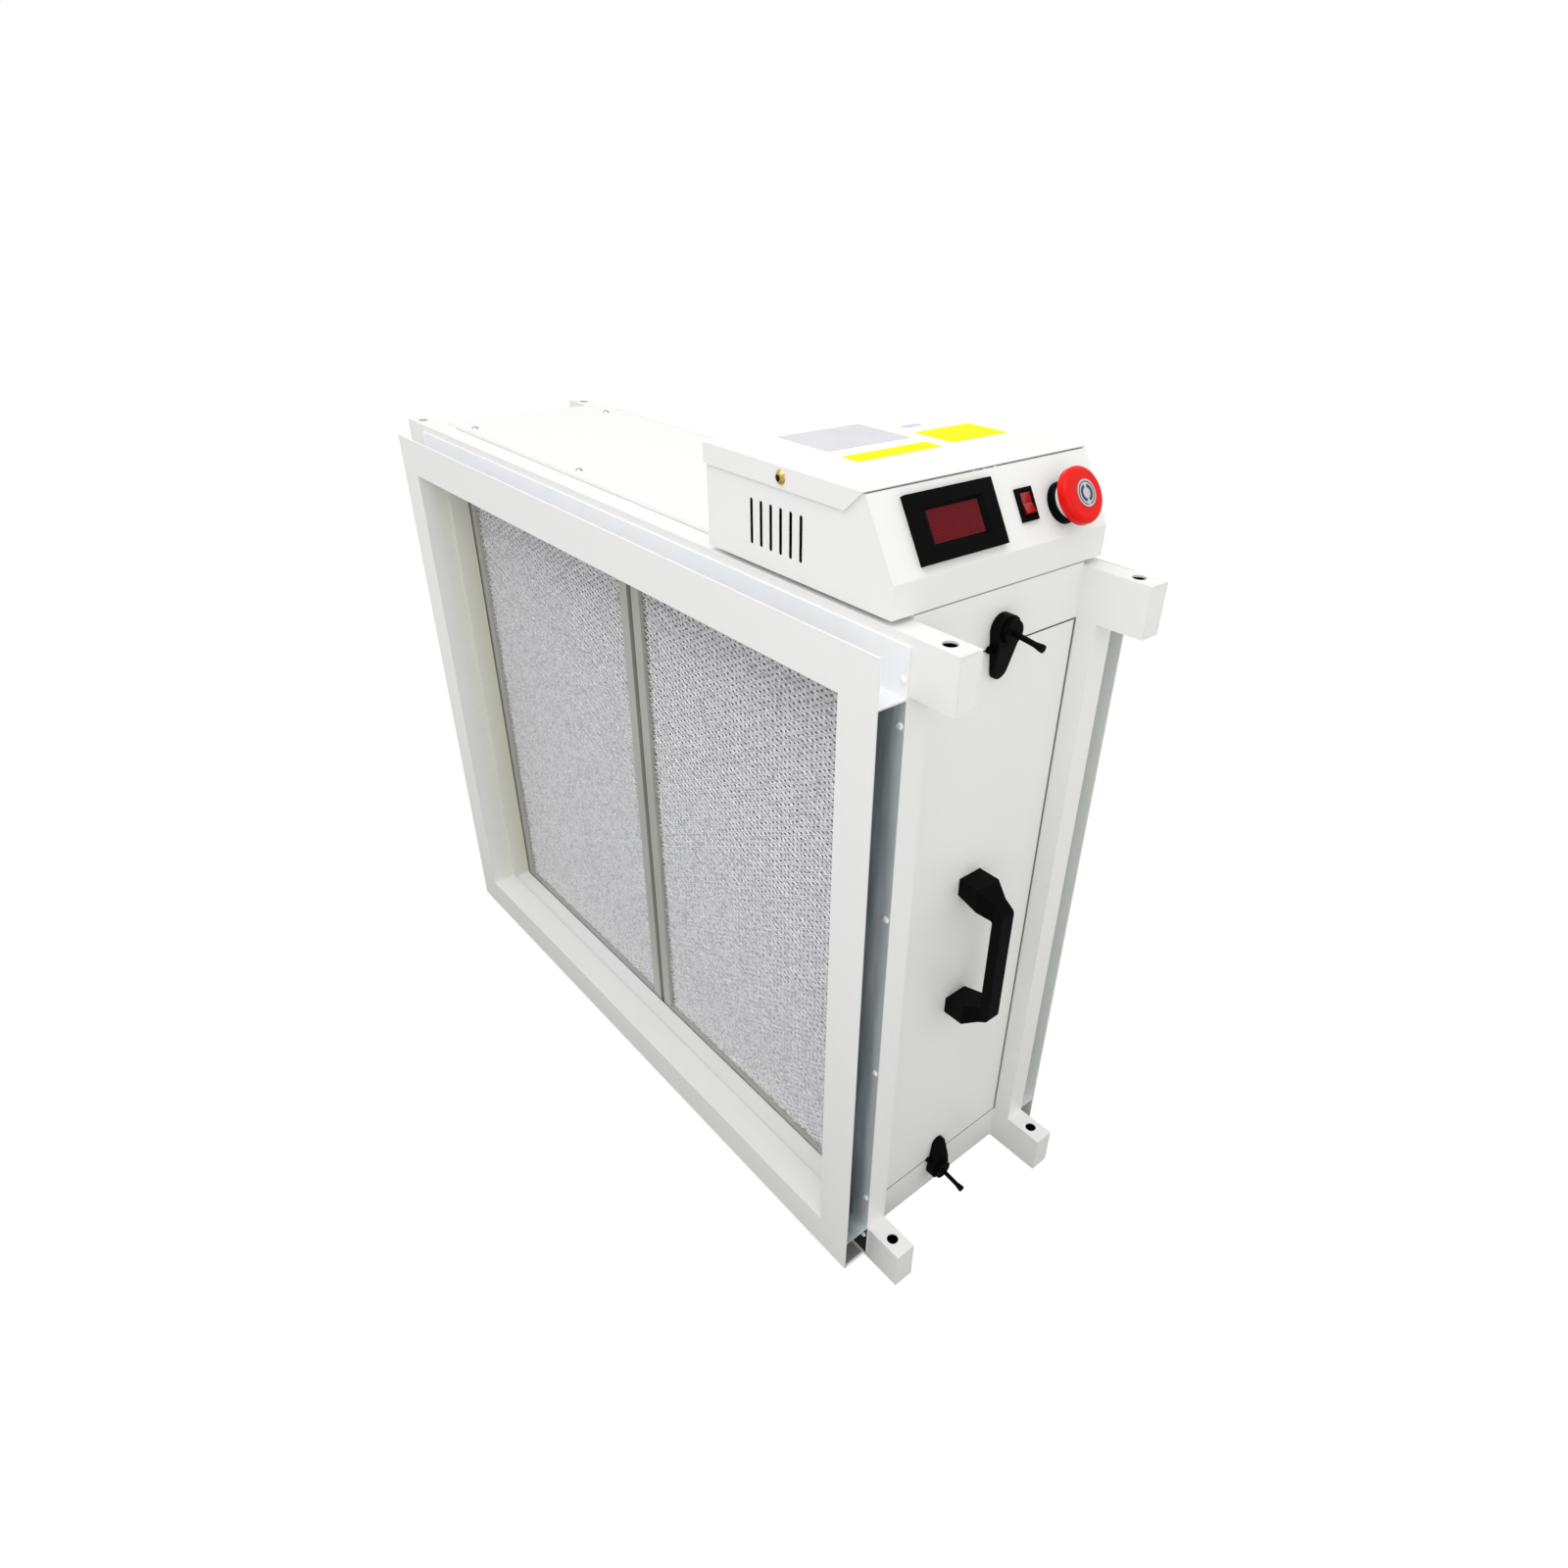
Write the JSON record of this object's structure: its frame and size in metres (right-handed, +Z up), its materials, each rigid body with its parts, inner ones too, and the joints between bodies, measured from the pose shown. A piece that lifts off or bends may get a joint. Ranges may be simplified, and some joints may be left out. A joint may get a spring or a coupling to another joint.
{
  "type": "electrostatic filter unit",
  "caption": "White duct-mounted electrostatic air filter with mesh prefilters, a latched side door, flanged duct collars and a sloped power box on top.",
  "frame": {"origin": "middle of the footprint at the height the unit stands on", "axes": "+X across the duct towards the service door, +Y along the air flow from the front flange to the rear one, +Z up"},
  "size_m": [0.774, 0.251, 0.6573],
  "materials": {
    "casing": "satin",
    "galvanised": "matt zinc",
    "aluminium": "mill finish",
    "black_plastic": "satin",
    "red_plastic": "gloss",
    "window_plastic": "gloss",
    "paddle_plastic": "gloss",
    "brass": "satin",
    "steel": "satin",
    "silver": "satin",
    "ceramic": "glazed",
    "foam": "matt foam",
    "potted": "matt"
  },
  "bodies": {
    "casing": {"bar_end_plates": "casing", "bar_front_bottom": "casing", "bar_front_top": "casing", "bar_rear_bottom": "casing", "bar_rear_top": "casing", "bottom_panel": "casing", "box_lid": "casing", "ceiling_panel": "galvanised", "cell_charged_left": "aluminium", "cell_charged_right": "aluminium", "cell_frame_left": "aluminium", "cell_frame_right": "aluminium", "cell_insulators": "ceramic", "cell_plates_left": "aluminium", "cell_plates_right": "aluminium", "collar_front_bottom": "casing", "collar_front_left": "casing", "collar_front_right": "casing", "collar_front_top": "casing", "collar_rear_bottom": "casing", "collar_rear_left": "casing", "collar_rear_right": "casing", "collar_rear_top": "casing", "collar_rivets": "casing", "cross_rail_bottom_left": "casing", "cross_rail_bottom_right": "casing", "cross_rail_top_left": "casing", "cross_rail_top_right": "casing", "door_gasket": "foam", "door_handle": "black_plastic", "door_panel": "casing", "estop_base": "black_plastic", "floor_panel": "galvanised", "handle_screws": "steel", "hv_contacts": "brass", "hv_supply": "potted", "ioniser_wires": "steel", "latch_studs": "steel", "left_panel": "casing", "lid_screws": "brass", "meter_body": "black_plastic", "meter_window": "window_plastic", "panel_screws": "steel", "post_front_left": "casing", "post_front_right": "casing", "post_rear_left": "casing", "post_rear_right": "casing", "power_box": "casing", "prefilter_frame_left": "aluminium", "prefilter_frame_right": "aluminium", "prefilter_mesh_left": "aluminium", "prefilter_mesh_right": "aluminium", "rocker_frame": "black_plastic", "top_panel": "casing"},
    "latch_top": {"latch_top": "black_plastic"},
    "latch_bottom": {"latch_bottom": "black_plastic"},
    "rocker": {"rocker_paddle": "paddle_plastic"},
    "stop_plunger": {"estop_plunger": "black_plastic"},
    "stop_head": {"estop_head": "red_plastic", "estop_disc": "silver"}
  },
  "joints": [
    {"name": "latch_top_turn", "type": "hinge", "parent": "casing", "child": "latch_top", "pos_m": [0.34, 0.003, 0.56], "axis": [1, 0, 0], "range_deg": [-90, 90]},
    {"name": "latch_bottom_turn", "type": "hinge", "parent": "casing", "child": "latch_bottom", "pos_m": [0.34, 0.003, 0.025], "axis": [1, 0, 0], "range_deg": [-90, 90]},
    {"name": "rocker_tilt", "type": "hinge", "parent": "casing", "child": "rocker", "pos_m": [0.31709, 0.0297, 0.63156], "axis": [0, 1, 0], "range_deg": [0, 16]},
    {"name": "stop_press", "type": "slide", "parent": "casing", "child": "stop_plunger", "axis": [-0.8654, 0, -0.501], "range_m": [0, 0.004], "stiffness_N_per_m": 500},
    {"name": "stop_turn", "type": "hinge", "parent": "stop_plunger", "child": "stop_head", "pos_m": [0.33319, 0.065, 0.63568], "axis": [0.8654, 0, 0.501], "range_deg": [-45, 0]}
  ]
}
